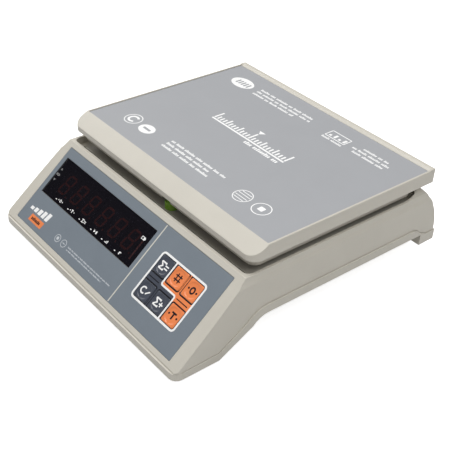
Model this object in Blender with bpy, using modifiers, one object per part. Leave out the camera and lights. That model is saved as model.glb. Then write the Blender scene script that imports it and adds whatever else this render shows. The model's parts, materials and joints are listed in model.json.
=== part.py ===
"""Counting scale: a flat weighing pan on a load cell, in a plastic housing with a sloping console.

The frame is metres with +Z up. +X is the operator's right, -Y is the operator's side, and the
origin is on the table under the middle of the scale.
"""
import math

import bmesh
import bpy
from mathutils import Matrix, Vector

# Gaps
GAP = 0.0003            # between pieces that touch
BOLT_GAP = 0.0003       # round a bolt in its hole

# Housing, seen from the side (Y, Z)
HALF_WIDTH = 0.145      # half the width of the lower casing's band
FRONT_Y = -0.160
BACK_Y = 0.160
FRONT_Z = 0.0025        # underside of the front block
BELLY_Z = 0.030         # underside between the front block and the rear bar
ARCH_CENTRE = (-0.0600, 0.0080)  # Y and Z of the middle of the arch behind the front foot
ARCH_RADIUS = 0.022
PARTING_RADIUS = 0.031
REAR_BAR_Y = 0.1376
REAR_BAR_Z = 0.018
WALL = 0.0028
FLOOR = 0.0025
FRONT_CORNER = 0.008    # radii of the housing's upright corners
REAR_CORNER = 0.002

# Sloping console
PANEL_TOP = Vector((0.0, -0.0882, 0.0706))
PANEL_BOTTOM = Vector((0.0, -0.1544, 0.0132))
PANEL_HALF_WIDTH = 0.1300
PANEL_RECESS = 0.0009
OVERLAY = 0.0005
CREST_Y = -0.0841
RIM_Z = 0.074           # top of the rim round the pan's recess
WINDOW_X = (-0.1240, 0.0306)
WINDOW_V = (-0.0086, 0.0332)
LENS = 0.0014
LENS_TOP = -0.0002      # its face, just below the console's plane
LENS_LEDGE = 0.003
DIGIT_PITCH = 0.022
MODULE_X = (-0.1122, -0.0452)   # left edges of the two three-digit modules
MODULE_V = (-0.0025, 0.0265)
MODULE_N = (-0.0131, -0.0023)

# Keys
KEY_SIZE = (0.0170, 0.0176)
KEY_X = (0.0624, 0.0829, 0.1034)
KEY_V = (0.0130, -0.0140)

# Recess under the pan
DECK_Z = 0.066
DECK = 0.0025
RECESS_X = 0.1365
RECESS_Y = (-0.0808, 0.1300)
CHANNEL_Z = 0.0560       # bottom of the drip channel in front of the deck
CHANNEL_BACK_Y = -0.0727
CHANNEL_HALF_WIDTH = 0.1305
RIDGE_Z = 0.0815

# Pan
PAN_HALF_WIDTH = 0.140
PAN_Y = (-0.0790, 0.1465)
PAN_TOP_Z = 0.0990
PAN_SKIRT_Z = 0.0855
PAN_TIER_Z = 0.0757
PAN_TIER_X = 0.1350
PAN_TIER_Y = (-0.0736, 0.1285)
PAN_TIER_LEAN = 0.0018  # how far the tier leans in towards its foot
PAN_TIER_CORNER = 0.009
PAN_SLOPE_TOP = (-0.0622, 0.0998)
PAN_SLOPE_BOTTOM = (-0.0790, 0.0910)
PAN_CEILING_Z = 0.0960
PAN_WALL = 0.0025
PAN_CORNER = 0.011
PAN_EDGE = 0.0018       # width of the raised side edges
PAN_LIP = 0.0072        # width of the raised back lip
PAN_LIP_SLOPE = 0.0036  # width of the slope that rises to it from the label
PAN_EDGE_Z = 0.0999
PAN_LIP_Z = 0.1006
PAN_LABEL = 0.0004

# Weighing mechanism
CELL_Y = 0.034          # middle of the pan, front to back
CELL_SIZE = (0.130, 0.030, 0.020)
CELL_Z = 0.0404
CELL_BOLT_X = (0.040, 0.055)
CELL_BOLT_RADIUS = 0.003
BOLT_MIDDLE_X = (CELL_BOLT_X[0] + CELL_BOLT_X[1]) / 2
STOP_RADIUS = 0.0025
HUB_X = (0.0315, 0.0635)
FLEXURE_X = 0.015       # the cell's two round holes, and the slot between them
FLEXURE_RADIUS = 0.0085
FLEXURE_SLOT = 0.008
CHASSIS_Z = (0.0328, 0.0358)
UPPER_SPACER = 0.0060
FRAME_Z = (0.0830, 0.0905)
ARM_WIDTH = 0.018
CUSHION_X = 0.100
CUSHION_DY = 0.070
CUSHION_RADIUS = 0.009

# Feet
FOOT_X = 0.098
FOOT_Y = (-0.122, 0.118)
FOOT_RADIUS = 0.014
FOOT_PAD_Z = 0.0055
FOOT_WHEEL_Z = 0.0098
FOOT_WHEEL_RADIUS = 0.011
FOOT_STUD_RADIUS = 0.004
FOOT_STUD_Z = 0.0235
BOSS_Z = 0.0113         # lower end of the threaded bosses
FRONT_BOSS_TOP_Z = 0.0225
REAR_BOSS_TOP_Z = 0.0310

# Smaller pieces
BATTERY_X = (-0.1290, -0.0850)
BATTERY_Y = (-0.0430, 0.0430)
BATTERY_COVER_Z = (0.0279, 0.0297)
BATTERY_COVER_EDGE = 0.005
SWITCH_AT = (0.112, -0.020)
SWITCH_SIZE = (0.0190, 0.0130)
SWITCH_Z = (0.0290, 0.0460)
SWITCH_WALL = 0.0014
SWITCH_FLANGE = 0.0015
ROCKER_AXIS_Z = 0.0305
JACK_AT = (-0.095, 0.042)
JACK_RADIUS = 0.0047
JACK_BLOCK = 0.0060      # half the width of the block behind the socket
JACK_BORE = 0.0032
JACK_PIN = 0.00105
LEVEL_AT = (0.010, -0.0650)
LEVEL_SHANK = 0.0052
LEVEL_FLANGE = 0.0068
LEVEL_NOTCH = (0.0035, 0.0165)  # the level shows through this stretch of the pan's lower edge
SCREW_AT = ((-0.129, -0.136), (0.129, -0.136), (-0.129, 0.070), (0.129, 0.070))
SCREW_BOSS = 0.0060
FRONT_SCREW_BOSS_Z = (0.0093, 0.0350)
REAR_SCREW_BOSS_Z = (0.0368, 0.0645)
SCREW_HEAD = 0.0033
SCREW_SHAFT = 0.0015

COLOURS = {
    "casing_plastic": ((0.56, 0.54, 0.48), 0.45, 0.0),
    "overlay_print": ((0.16, 0.19, 0.22), 0.40, 0.0),
    "pan_print": ((0.40, 0.41, 0.43), 0.40, 0.0),
    "window_tint": ((0.006, 0.005, 0.007), 0.12, 0.0),
    "key_dark": ((0.055, 0.065, 0.085), 0.35, 0.0),
    "key_orange": ((0.90, 0.21, 0.07), 0.35, 0.0),
    "circuit_board": ((0.02, 0.15, 0.06), 0.50, 0.0),
    "digit_plastic": ((0.03, 0.02, 0.02), 0.50, 0.0),
    "aluminium": ((0.75, 0.76, 0.78), 0.35, 1.0),
    "steel": ((0.55, 0.56, 0.58), 0.30, 1.0),
    "rubber": ((0.03, 0.03, 0.03), 0.80, 0.0),
    "black_plastic": ((0.02, 0.02, 0.02), 0.45, 0.0),
    "battery_wrap": ((0.03, 0.09, 0.25), 0.45, 0.0),
    "level_fluid": ((0.30, 0.75, 0.08), 0.10, 0.0),
    "cable_sheath": ((0.10, 0.10, 0.11), 0.60, 0.0),
}


# Scene, collections and materials

def clear_scene():
    for old in list(bpy.data.objects):
        bpy.data.objects.remove(old)


def make_collection(name):
    collection = bpy.data.collections.new(name)
    bpy.context.scene.collection.children.link(collection)
    return collection


def make_material(name):
    colour, roughness, metallic = COLOURS[name]
    material = bpy.data.materials.new(name)
    material.use_nodes = True
    shader = material.node_tree.nodes["Principled BSDF"]
    shader.inputs["Base Color"].default_value = (*colour, 1.0)
    shader.inputs["Roughness"].default_value = roughness
    shader.inputs["Metallic"].default_value = metallic
    return material


# Solids

def add_object(name, mesh, collection):
    created = bpy.data.objects.new(name, mesh)
    collection.objects.link(created)
    return created


def mesh_from(bm, name):
    bmesh.ops.recalc_face_normals(bm, faces=bm.faces)
    mesh = bpy.data.meshes.new(name)
    bm.to_mesh(mesh)
    bm.free()
    return mesh


def box(name, low, high):
    """A box between two corners."""
    low, high = Vector(low), Vector(high)
    bm = bmesh.new()
    bmesh.ops.create_cube(bm, size=1.0)
    bmesh.ops.scale(bm, vec=high - low, verts=bm.verts)
    bmesh.ops.translate(bm, vec=(low + high) / 2, verts=bm.verts)
    return add_object(name, mesh_from(bm, name), CUTTERS)


def cylinder(name, centre, radius, z_range, sides=24):
    """An upright cylinder."""
    low, high = z_range
    bm = bmesh.new()
    bmesh.ops.create_cone(bm, cap_ends=True, segments=sides, radius1=radius, radius2=radius,
                          depth=high - low)
    bmesh.ops.translate(bm, vec=(centre[0], centre[1], (low + high) / 2), verts=bm.verts)
    return add_object(name, mesh_from(bm, name), CUTTERS)


def lying_cylinder(name, centre, radius, length, axis, sides=24):
    """A cylinder along X or Y."""
    turn = Matrix.Rotation(math.pi / 2, 4, "Y" if axis == "X" else "X")
    bm = bmesh.new()
    bmesh.ops.create_cone(bm, cap_ends=True, segments=sides, radius1=radius, radius2=radius,
                          depth=length, matrix=Matrix.Translation(centre) @ turn)
    return add_object(name, mesh_from(bm, name), CUTTERS)


def mesh_of_curve(curve_object):
    """Turn a curve into a closed mesh object of the same name, with its caps welded on."""
    bpy.context.view_layer.update()
    depsgraph = bpy.context.evaluated_depsgraph_get()
    mesh = bpy.data.meshes.new_from_object(curve_object.evaluated_get(depsgraph))
    name = curve_object.name
    matrix = curve_object.matrix_world.copy()
    bpy.data.objects.remove(curve_object)
    bm = bmesh.new()
    bm.from_mesh(mesh)
    bmesh.ops.remove_doubles(bm, verts=bm.verts, dist=0.00001)
    bmesh.ops.transform(bm, matrix=matrix, verts=bm.verts)
    return add_object(name, mesh_from(bm, name), CUTTERS)


def plate(name, outline, thickness, matrix):
    """A flat outline with a thickness, centred on the matrix's XY plane."""
    curve = bpy.data.curves.new(name, "CURVE")
    curve.dimensions = "2D"
    curve.fill_mode = "BOTH"
    curve.extrude = thickness / 2
    spline = curve.splines.new("POLY")
    spline.points.add(len(outline) - 1)
    for point, (x, y) in zip(spline.points, outline):
        point.co = (x, y, 0.0, 1.0)
    spline.use_cyclic_u = True
    flat = add_object(name, curve, CUTTERS)
    flat.matrix_world = matrix
    return mesh_of_curve(flat)


SIDE_VIEW = Matrix(((0, 0, 1, 0), (1, 0, 0, 0), (0, 1, 0, 0), (0, 0, 0, 1)))


def side_prism(name, outline, half_width):
    """An outline in the YZ plane, as wide as the object is along X."""
    return plate(name, outline, 2 * half_width, SIDE_VIEW)


def flat_prism(name, outline, z_range):
    """An outline in the XY plane between two heights."""
    low, high = z_range
    return plate(name, outline, high - low, Matrix.Translation((0, 0, (low + high) / 2)))


def arc(centre, radius, start, end, steps):
    """Points on an arc, from one angle to another in degrees."""
    points = []
    for step in range(steps + 1):
        angle = math.radians(start + (end - start) * step / steps)
        points.append((centre[0] + radius * math.cos(angle), centre[1] + radius * math.sin(angle)))
    return points


def rounded_rectangle(x_range, y_range, radius, steps=4):
    (left, right), (low, high) = x_range, y_range
    corners = (((right - radius, high - radius), 0), ((left + radius, high - radius), 90),
               ((left + radius, low + radius), 180), ((right - radius, low + radius), 270))
    points = []
    for centre, start in corners:
        points += arc(centre, radius, start, start + 90, steps)
    return points


def use_tool(target, tool, operation):
    modifier = target.modifiers.new(operation.lower(), "BOOLEAN")
    modifier.operation = operation
    modifier.solver = "EXACT"
    modifier.object = tool
    tool.hide_render = True
    tool.display_type = "WIRE"


def cut(target, *tools):
    for tool in tools:
        use_tool(target, tool, "DIFFERENCE")


def join(target, *tools):
    for tool in tools:
        use_tool(target, tool, "UNION")


def keep_inside(target, tool):
    use_tool(target, tool, "INTERSECT")


def bevel(target, width, segments=2, angle=40):
    modifier = target.modifiers.new("rounded_edges", "BEVEL")
    modifier.width = width
    modifier.segments = segments
    modifier.limit_method = "ANGLE"
    modifier.angle_limit = math.radians(angle)
    modifier.use_clamp_overlap = True


def finish(target, material, smooth=True):
    """Make the object a piece of the scale, in its own material."""
    CUTTERS.objects.unlink(target)
    PARTS.objects.link(target)
    target.data.materials.clear()
    target.data.materials.append(MATERIALS[material])
    if smooth:
        target.data.shade_smooth()
        target.data.set_sharp_from_angle(angle=math.radians(35))
    return target


def set_origin(target, place):
    """Move the object's origin, and leave its mesh where it is."""
    target.data.transform(Matrix.Translation(-Vector(place)))
    target.location = place


def joined_base(name, boxes):
    """A box with more boxes joined to it."""
    base = box(name, *boxes[0])
    for number, corners in enumerate(boxes[1:]):
        join(base, box(f"{name}_block_{number}", *corners))
    return base


# The console's own frame: X to the right, V up the slope, N out of it

def console_matrix():
    up_slope = (PANEL_TOP - PANEL_BOTTOM).normalized()
    outward = Vector((1, 0, 0)).cross(up_slope)
    matrix = Matrix.Identity(4)
    matrix.col[0] = (1, 0, 0, 0)
    matrix.col[1] = (*up_slope, 0)
    matrix.col[2] = (*outward, 0)
    matrix.col[3] = (*((PANEL_TOP + PANEL_BOTTOM) / 2), 1)
    return matrix


CONSOLE = console_matrix()
PANEL_HALF_HEIGHT = (PANEL_TOP - PANEL_BOTTOM).length / 2


def console_box(name, x_range, v_range, n_range):
    tool = box(name, (x_range[0], v_range[0], n_range[0]), (x_range[1], v_range[1], n_range[1]))
    tool.data.transform(CONSOLE)
    return tool


def console_plate(name, outline, n_range):
    low, high = n_range
    return plate(name, outline, high - low, CONSOLE @ Matrix.Translation((0, 0, (low + high) / 2)))


def console_cylinder(name, centre, radius, n_range, sides=16):
    tool = cylinder(name, centre, radius, n_range, sides)
    tool.data.transform(CONSOLE)
    return tool


def key_places():
    return [(x, v) for v in KEY_V for x in KEY_X]


def key_outline(place, spare):
    half_x, half_v = KEY_SIZE[0] / 2 + spare, KEY_SIZE[1] / 2 + spare
    return rounded_rectangle((place[0] - half_x, place[0] + half_x),
                             (place[1] - half_v, place[1] + half_v), 0.0012 + spare, 2)


# Outlines of the housing, seen from the right

def lower_edge():
    """The underside of the lower casing, from front to back."""
    ramp_top = arc(ARCH_CENTRE, ARCH_RADIUS, 140, 90, 4)
    return [(FRONT_Y, FRONT_Z), (-0.1127, FRONT_Z), *ramp_top,
            (REAR_BAR_Y, BELLY_Z), (REAR_BAR_Y, REAR_BAR_Z), (BACK_Y, REAR_BAR_Z)]


def parting_line():
    """The joint between the two casings, from front to back."""
    ramp_top = arc(ARCH_CENTRE, PARTING_RADIUS, 138, 90, 4)
    rear_curve = arc((0.1240, 0.0240), 0.015, 90, 35, 3)
    return [(FRONT_Y, 0.0095), (-0.1130, 0.0105), *ramp_top, *rear_curve,
            (0.1460, 0.0285), (BACK_Y, 0.0285)]


def upper_outline(inset=0.0):
    """The top of the upper casing, from front to back, moved inwards by the inset."""
    slope = (PANEL_TOP - PANEL_BOTTOM).normalized()
    console_low = PANEL_BOTTOM - slope * 0.0050
    shift = inset * CONSOLE.col[2].xyz
    crest_drop = inset * 0.45
    return [(console_low.y - shift.y, console_low.z - shift.z),
            (CREST_Y - 0.0012 + crest_drop, RIM_Z - 0.0010 - inset),
            (CREST_Y + inset, RIM_Z - inset),
            (0.1140, RIM_Z - inset), (0.1215, RIM_Z + 0.0014 - inset), (0.1300, RIDGE_Z - 0.0015 - inset),
            (0.1328, RIDGE_Z - inset), (0.1355 - inset / 2, RIDGE_Z - inset),
            (0.1430 - inset * 0.7, 0.0735 - inset * 0.7), (0.1500 - inset * 0.9, 0.0635 - inset * 0.5),
            (0.1548 - inset, 0.0520 - inset * 0.2), (0.1573 - inset, 0.0400)]


def housing_plan(half_width, y_range, front_radius):
    """The housing's outline from above, with rounder corners at the front than at the back."""
    front, back = y_range
    front_x, rear_x = half_width - front_radius, half_width - REAR_CORNER
    return [*arc((rear_x, back - REAR_CORNER), REAR_CORNER, 0, 90, 2),
            *arc((-rear_x, back - REAR_CORNER), REAR_CORNER, 90, 180, 2),
            *arc((-front_x, front + front_radius), front_radius, 180, 270, 4),
            *arc((front_x, front + front_radius), front_radius, 270, 360, 4)]


# Half the upper casing's width at each height: straight sides with a draft, a soft shoulder, and the
# sloping ends of the ridge behind the pan
SIDE_STATIONS = ((0.0, 0.1446), (0.040, 0.1436), (0.066, 0.1418), (0.0695, 0.1400), (0.0745, 0.1390),
                 (0.0815, 0.1310))


def side_half_width(z):
    for (low_z, low_x), (high_z, high_x) in zip(SIDE_STATIONS, SIDE_STATIONS[1:]):
        if z <= high_z:
            return low_x + (high_x - low_x) * (z - low_z) / (high_z - low_z)
    return SIDE_STATIONS[-1][1]


def draft_sides(target, inset=0.0):
    """Move both side faces of a prism to the housing's width at each height."""
    bm = bmesh.new()
    bm.from_mesh(target.data)
    for z, _ in SIDE_STATIONS[1:-1]:
        bmesh.ops.bisect_plane(bm, geom=[*bm.verts, *bm.edges, *bm.faces], plane_co=(0, 0, z),
                               plane_no=(0, 0, 1), dist=1e-6)
    for vertex in bm.verts:
        vertex.co.x = math.copysign(side_half_width(vertex.co.z) - inset, vertex.co.x)
    bm.to_mesh(target.data)
    bm.free()


# Housing

def make_upper_casing():
    rest = [(y, z + GAP) for y, z in reversed(parting_line())]
    rest[0] = (0.1580, rest[0][1])
    front_low = upper_outline()[0]
    rest[-1] = (front_low[0] + 0.0004, rest[-1][1])
    casing = side_prism("upper_casing", upper_outline() + rest, 0.1)
    draft_sides(casing)
    plan = housing_plan(0.1449, (-0.1592, 0.1580), FRONT_CORNER - 0.001)
    keep_inside(casing, flat_prism("upper_plan", plan, (-0.01, 0.12)))
    bevel(casing, 0.0016, 2, 45)

    hollow = side_prism("upper_hollow", upper_outline(WALL) + [(0.1552, -0.01), (-0.1560, -0.01)], 0.1)
    draft_sides(hollow, WALL)
    cut(casing, hollow)

    # the recess under the pan, with its deck joined across the hollow
    deck = flat_prism("deck", rounded_rectangle((-RECESS_X - 0.0020, RECESS_X + 0.0020),
                                                (RECESS_Y[0] - 0.0032, RECESS_Y[1] + 0.0025), 0.006),
                      (DECK_Z - DECK, RIM_Z - 0.0005))
    recess = flat_prism("recess", rounded_rectangle((-RECESS_X, RECESS_X), RECESS_Y, 0.006), (DECK_Z, 0.1))
    join(casing, deck)
    cut(casing, recess)

    # a drip channel along the front of the deck
    join(casing, box("channel_block", (-CHANNEL_HALF_WIDTH - DECK, RECESS_Y[0] - 0.0032, CHANNEL_Z - DECK),
                     (CHANNEL_HALF_WIDTH + DECK, CHANNEL_BACK_Y + DECK, DECK_Z - 0.0005)))
    cut(casing, box("channel", (-CHANNEL_HALF_WIDTH, RECESS_Y[0], CHANNEL_Z),
                    (CHANNEL_HALF_WIDTH, CHANNEL_BACK_Y, DECK_Z + 0.001)))
    hub_outline = rounded_rectangle((HUB_X[0] - 0.0025, HUB_X[1] + 0.0025),
                                    (CELL_Y - 0.020, CELL_Y + 0.020), 0.004, 2)
    hub_hole = flat_prism("hub_hole", hub_outline, (0.05, 0.08))
    level_hole = cylinder("level_hole", LEVEL_AT, LEVEL_SHANK + GAP, (0.05, 0.08), 20)
    cut(casing, hub_hole, level_hole)

    # seats of the overlay and the lens, then the openings behind them
    panel = rounded_rectangle((-PANEL_HALF_WIDTH, PANEL_HALF_WIDTH),
                              (-PANEL_HALF_HEIGHT, PANEL_HALF_HEIGHT), 0.0006, 1)
    cut(casing, console_plate("overlay_seat", panel, (-PANEL_RECESS, 0.01)))
    cut(casing, console_box("lens_seat", (WINDOW_X[0] - GAP, WINDOW_X[1] + GAP),
                            (WINDOW_V[0] - GAP, WINDOW_V[1] + GAP), (LENS_TOP - LENS - GAP, 0.01)))
    cut(casing, console_box("window_hole", (WINDOW_X[0] + LENS_LEDGE, WINDOW_X[1] - LENS_LEDGE),
                            (WINDOW_V[0] + LENS_LEDGE, WINDOW_V[1] - LENS_LEDGE), (-0.02, 0.01)))
    for number, place in enumerate(key_places()):
        cut(casing, console_plate(f"key_hole_{number}", key_outline(place, GAP), (-0.02, 0.01)))

    # screw bosses reach from just above the floor to the inside of the shell
    inside = side_prism("boss_limit", upper_outline(WALL / 2) + [(0.1552, -0.01), (-0.1560, -0.01)], 0.15)
    for number, (x, y) in enumerate(SCREW_AT):
        low, high = FRONT_SCREW_BOSS_Z if y < 0 else REAR_SCREW_BOSS_Z
        boss = cylinder(f"upper_boss_{number}", (x, y), 0.0042, (low, high), 12)
        keep_inside(boss, inside)
        join(casing, boss)
        hole_z = (low - 0.001, low + 0.0080)
        cut(casing, cylinder(f"upper_boss_hole_{number}", (x, y), SCREW_SHAFT + GAP, hole_z, 8))

    # the power inlet's hole in the back wall
    jack_place = (JACK_AT[0], 0.155, JACK_AT[1])
    cut(casing, lying_cylinder("jack_hole", jack_place, JACK_RADIUS + GAP, 0.02, "Y", 20))
    finish(casing, "casing_plastic")


def make_lower_casing():
    outline = lower_edge() + list(reversed(parting_line()))
    casing = side_prism("lower_casing", outline, HALF_WIDTH)
    plan = housing_plan(HALF_WIDTH, (FRONT_Y, BACK_Y), FRONT_CORNER)
    keep_inside(casing, flat_prism("lower_plan", plan, (-0.01, 0.12)))

    floor_ramp = arc(ARCH_CENTRE, ARCH_RADIUS + FLOOR, 139, 90, 4)
    inner_floor = [(FRONT_Y + WALL, FRONT_Z + FLOOR), (-0.1137, FRONT_Z + FLOOR), *floor_ramp,
                   (REAR_BAR_Y + WALL, BELLY_Z + FLOOR), (REAR_BAR_Y + WALL, REAR_BAR_Z + FLOOR),
                   (BACK_Y - WALL, REAR_BAR_Z + FLOOR)]
    hollow = side_prism("lower_hollow", inner_floor + [(BACK_Y - WALL, 0.06), (FRONT_Y + WALL, 0.06)],
                        HALF_WIDTH - WALL)
    cut(casing, hollow)

    for side in (-1, 1):
        for end, y in enumerate(FOOT_Y):
            add_foot_boss(casing, f"{side + 1}{end}", (side * FOOT_X, y), front=end == 0)
    for number, (x, y) in enumerate(SCREW_AT):
        floor = FRONT_Z if y < 0 else BELLY_Z
        boss_z = (floor + 0.001, floor + 0.0065)
        join(casing, cylinder(f"lower_boss_{number}", (x, y), SCREW_BOSS, boss_z, 16))
        head_z = (floor - 0.001, floor + 0.0042)
        cut(casing, cylinder(f"head_hole_{number}", (x, y), SCREW_HEAD + GAP, head_z, 12))
        cut(casing, cylinder(f"shaft_hole_{number}", (x, y), SCREW_SHAFT + GAP, (floor, floor + 0.01), 8))

    battery_hole = box("battery_hole", (BATTERY_X[0] - 0.0006, BATTERY_Y[0] - 0.0006, 0.02),
                       (BATTERY_X[1] + 0.0006, BATTERY_Y[1] + 0.0006, 0.05))
    half_x, half_y = SWITCH_SIZE[0] / 2 + GAP, SWITCH_SIZE[1] / 2 + GAP
    switch_hole = box("switch_hole", (SWITCH_AT[0] - half_x, SWITCH_AT[1] - half_y, 0.02),
                      (SWITCH_AT[0] + half_x, SWITCH_AT[1] + half_y, 0.05))
    cut(casing, battery_hole, switch_hole)
    finish(casing, "casing_plastic")


def add_foot_boss(casing, label, place, front):
    """A threaded boss for a levelling foot. The front ones stand in a round pocket."""
    if front:
        join(casing, cylinder(f"pocket_wall_{label}", place, FOOT_RADIUS + 0.0055, (0.004, 0.0138), 28))
        cut(casing, cylinder(f"pocket_{label}", place, FOOT_RADIUS + 0.003, (-0.001, BOSS_Z), 28))
        boss_radius, boss_top = 0.0065, FRONT_BOSS_TOP_Z
    else:
        boss_radius, boss_top = 0.0120, REAR_BOSS_TOP_Z
    join(casing, cylinder(f"foot_boss_{label}", place, boss_radius, (BOSS_Z, boss_top), 20))
    cut(casing, cylinder(f"stud_hole_{label}", place, FOOT_STUD_RADIUS + BOLT_GAP, (0.0, 0.04), 16))


def make_casing_screws():
    for number, (x, y) in enumerate(SCREW_AT):
        floor = FRONT_Z if y < 0 else BELLY_Z
        head_z, shaft_z = (floor + 0.0014, floor + 0.0039), (floor + 0.0030, floor + 0.0120)
        screw = cylinder(f"casing_screw_{number + 1}", (x, y), SCREW_HEAD, head_z, 12)
        join(screw, cylinder(f"screw_shaft_{number}", (x, y), SCREW_SHAFT, shaft_z, 8))
        cut(screw, box(f"screw_slot_{number}", (x - 0.0022, y - 0.0005, floor),
                       (x + 0.0022, y + 0.0005, floor + 0.0022)))
        finish(screw, "steel")


# Console

def make_panel_overlay():
    edge = GAP
    outline = rounded_rectangle((-PANEL_HALF_WIDTH + edge, PANEL_HALF_WIDTH - edge),
                                (-PANEL_HALF_HEIGHT + edge, PANEL_HALF_HEIGHT - edge), 0.0006, 1)
    top = -PANEL_RECESS + GAP + OVERLAY
    overlay = console_plate("panel_overlay", outline, (top - OVERLAY, top))
    cut(overlay, console_box("overlay_window", (WINDOW_X[0] - edge, WINDOW_X[1] + edge),
                             (WINDOW_V[0] - edge, WINDOW_V[1] + edge), (-0.01, 0.01)))
    for number, place in enumerate(key_places()):
        cut(overlay, console_plate(f"overlay_key_{number}", key_outline(place, edge), (-0.01, 0.01)))
    finish(overlay, "overlay_print", smooth=False)


def make_display_lens():
    lens = console_box("display_lens", WINDOW_X, WINDOW_V, (LENS_TOP - LENS, LENS_TOP))
    finish(lens, "window_tint", smooth=False)


def make_display_module():
    """The board behind the window, with its two three-digit modules."""
    middle_v = (WINDOW_V[0] + WINDOW_V[1]) / 2
    board = console_box("display_board", (-0.1200, 0.0270), (middle_v - 0.0155, middle_v + 0.0155),
                        (-0.0150, -0.0134))
    finish(board, "circuit_board", smooth=False)
    for name, start_x in (("digit_module_left", MODULE_X[0]), ("digit_module_right", MODULE_X[1])):
        module = console_box(name, (start_x, start_x + 3 * DIGIT_PITCH), MODULE_V, MODULE_N)
        for digit in range(1, 3):
            joint_x = start_x + digit * DIGIT_PITCH
            joint_v = (MODULE_V[0] - 0.001, MODULE_V[1] + 0.001)
            cut(module, console_box(f"{name}_joint_{digit}", (joint_x - 0.0004, joint_x + 0.0004),
                                    joint_v, (MODULE_N[1] - 0.0009, 0.0)))
        finish(module, "digit_plastic", smooth=False)


def make_keys():
    colours = ("key_dark", "key_orange", "key_orange", "key_dark", "key_dark", "key_orange")
    names = ("key_total", "key_unit", "key_zero", "key_clear", "key_add", "key_tare")
    for name, place, colour in zip(names, key_places(), colours):
        key = console_plate(name, key_outline(place, 0.0), (-0.0024, -0.0001))
        join(key, console_cylinder(f"{name}_stem", place, 0.0025, (-0.0043, -0.0020), 12))
        finish(key, colour)
        set_origin(key, CONSOLE @ Vector((*place, 0)))


def make_keypad_board():
    board = console_box("keypad_board", (KEY_X[0] - 0.012, KEY_X[2] + 0.012),
                        (KEY_V[1] - 0.011, KEY_V[0] + 0.011), (-0.0085, -0.0070))
    for number, (x, v) in enumerate(key_places()):
        join(board, console_box(f"tact_switch_{number}", (x - 0.003, x + 0.003), (v - 0.003, v + 0.003),
                                (-0.0075, -0.0049)))
    finish(board, "circuit_board", smooth=False)


def make_main_board():
    board = joined_base("main_board", (
        ((-0.0700, -0.1390, 0.0150), (0.0700, -0.1050, 0.0166)),
        ((-0.0200, -0.1250, 0.0160), (-0.0060, -0.1110, 0.0182)),
        ((0.0250, -0.1200, 0.0160), (0.0350, -0.1080, 0.0200)),
        ((-0.0620, -0.1190, 0.0160), (-0.0520, -0.1070, 0.0230))))
    finish(board, "circuit_board", smooth=False)


# Weighing mechanism

def make_chassis():
    low, high = CHASSIS_Z
    outline = rounded_rectangle((-0.0760, 0.0760), (CELL_Y - 0.060, CELL_Y + 0.060), 0.006, 3)
    chassis = flat_prism("chassis_plate", outline, (low, high))
    for number, y in enumerate((CELL_Y - 0.040, CELL_Y + 0.040)):
        cut(chassis, box(f"chassis_window_{number}", (-0.045, y - 0.010, low - 0.001),
                         (0.045, y + 0.010, high + 0.001)))
    for number, x in enumerate(CELL_BOLT_X):
        hole = cylinder(f"chassis_bolt_hole_{number}", (-x, CELL_Y), CELL_BOLT_RADIUS + BOLT_GAP,
                        (low - 0.001, high + 0.001), 16)
        cut(chassis, hole)
    cut(chassis, cylinder("chassis_stop_hole", (BOLT_MIDDLE_X, CELL_Y), STOP_RADIUS + GAP,
                          (low - 0.001, high + 0.001), 16))
    finish(chassis, "steel")


def make_load_cell():
    length, width, height = CELL_SIZE
    cell = box("load_cell", (-length / 2, CELL_Y - width / 2, CELL_Z),
               (length / 2, CELL_Y + width / 2, CELL_Z + height))
    middle = CELL_Z + height / 2
    for side in (-1, 1):
        place = (side * FLEXURE_X, CELL_Y, middle)
        cut(cell, lying_cylinder(f"flexure_{side + 1}", place, FLEXURE_RADIUS, 0.05, "Y", 20))
    cut(cell, box("flexure_slot", (-FLEXURE_X, CELL_Y - 0.03, middle - FLEXURE_SLOT / 2),
                  (FLEXURE_X, CELL_Y + 0.03, middle + FLEXURE_SLOT / 2)))
    for side in (-1, 1):
        for number, x in enumerate(CELL_BOLT_X):
            cut(cell, cylinder(f"cell_hole_{side + 1}{number}", (side * x, CELL_Y),
                               CELL_BOLT_RADIUS + BOLT_GAP, (CELL_Z - 0.001, CELL_Z + height + 0.001), 16))
    finish(cell, "aluminium")

    top = CELL_Z + height
    ends = (("lower_spacer", -1, CHASSIS_Z[1] + GAP, CELL_Z - GAP),
            ("upper_spacer", 1, top + GAP, top + UPPER_SPACER))
    for name, side, low, high in ends:
        spacer = box(name, (side * BOLT_MIDDLE_X - 0.0160, CELL_Y - 0.015, low),
                     (side * BOLT_MIDDLE_X + 0.0160, CELL_Y + 0.015, high))
        for number, x in enumerate(CELL_BOLT_X):
            cut(spacer, cylinder(f"{name}_hole_{number}", (side * x, CELL_Y), CELL_BOLT_RADIUS + BOLT_GAP,
                                 (low - 0.001, high + 0.001), 16))
        finish(spacer, "aluminium")

    for number, x in enumerate(CELL_BOLT_X):
        make_bolt(f"fixed_end_bolt_{number + 1}", (-x, CELL_Y), CHASSIS_Z[0] + 0.0005, top + GAP, 0.0024)
        make_bolt(f"free_end_bolt_{number + 1}", (x, CELL_Y), CELL_Z + 0.006, FRAME_Z[1] + GAP, 0.0042)

    stop = cylinder("overload_stop", (BOLT_MIDDLE_X, CELL_Y), STOP_RADIUS,
                    (CHASSIS_Z[0] + 0.0002, CELL_Z - 0.0011), 16)
    finish(stop, "steel")


def make_bolt(name, place, low, head_low, head):
    """A socket head bolt: its shank from low to its head, which stands on head_low."""
    bolt = cylinder(name, place, CELL_BOLT_RADIUS, (low, head_low + 0.001), 16)
    join(bolt, cylinder(f"{name}_head", place, 0.0050, (head_low, head_low + head), 16))
    cut(bolt, cylinder(f"{name}_socket", place, 0.0025, (head_low + head / 2, head_low + 0.01), 6))
    finish(bolt, "steel")


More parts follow.
